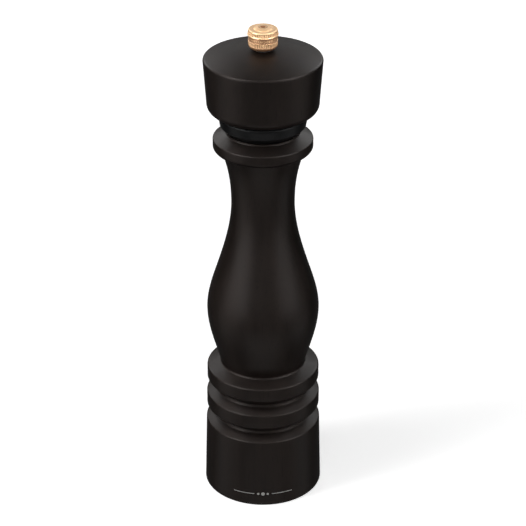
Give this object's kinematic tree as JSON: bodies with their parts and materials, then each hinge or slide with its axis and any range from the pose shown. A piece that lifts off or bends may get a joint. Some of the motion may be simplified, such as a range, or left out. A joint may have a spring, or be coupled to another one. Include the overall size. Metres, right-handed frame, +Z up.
{
  "type": "pepper mill",
  "caption": "Tall turned pepper mill with a rotating domed head on a square spindle, a conical burr grinder in the base and a ribbed metal adjuster knob on top.",
  "frame": {"origin": "centre of the foot, on the surface that the mill stands on", "axes": "+Z up along the turning axis; +X and +Y are free, because the outside is round"},
  "size_m": [0.073, 0.073, 0.3054],
  "materials": {
    "stained_wood": "satin, stained near black, faint open grain",
    "collar_plastic": "smooth, semi-gloss black",
    "black_plastic": "moulded, matte",
    "nylon": "natural nylon, matte",
    "copper_metal": "copper-coloured plating, satin with bright edges",
    "steel": "zinc plated, satin",
    "burr_steel": "case-hardened steel, dull",
    "aluminium": "drawn bar, fine lengthwise lines"
  },
  "bodies": {
    "body": {"body": "stained_wood", "neck_bush": "nylon", "grinder_housing": "black_plastic", "mounting_plate": "steel", "housing_screws": "steel", "outer_burr": "burr_steel", "bearing_bridge": "black_plastic"},
    "drive_bush": {"spindle_bush": "nylon", "burr_spring": "steel"},
    "spindle": {"spindle": "aluminium", "spring_washer": "steel", "inner_burr": "burr_steel", "burr_washer": "steel", "spindle_clip": "steel"},
    "head": {"head": "stained_wood", "neck_collar": "collar_plastic", "drive_plate": "steel", "drive_plate_screws": "steel", "top_bush": "steel"},
    "knob_washer": {"knob_washer": "black_plastic"},
    "knob": {"adjuster_knob": "copper_metal"}
  },
  "joints": [
    {"name": "head_turn", "type": "hinge", "parent": "body", "child": "drive_bush", "pos_m": [0, 0, 0.034], "axis": [0, 0, 1], "continuous": true},
    {"name": "burr_gap", "type": "slide", "parent": "drive_bush", "child": "spindle", "axis": [0, 0, 1], "range_m": [-0.0012, 0.0006], "deforming": ["burr_spring"]},
    {"name": "head_lift", "type": "slide", "parent": "drive_bush", "child": "head", "axis": [0, 0, 1], "range_m": [0, 0.08]},
    {"name": "knob_turn", "type": "hinge", "parent": "head", "child": "knob_washer", "pos_m": [0, 0, 0.292], "axis": [0, 0, -1], "range_deg": [-540, 270]},
    {"name": "knob_lift", "type": "slide", "parent": "knob_washer", "child": "knob", "axis": [0, 0, 1], "range_m": [0, 0.02]}
  ],
  "couplings": [
    {"joint": "knob_turn", "follows": "burr_gap", "rad_per_m": 7854}
  ]
}
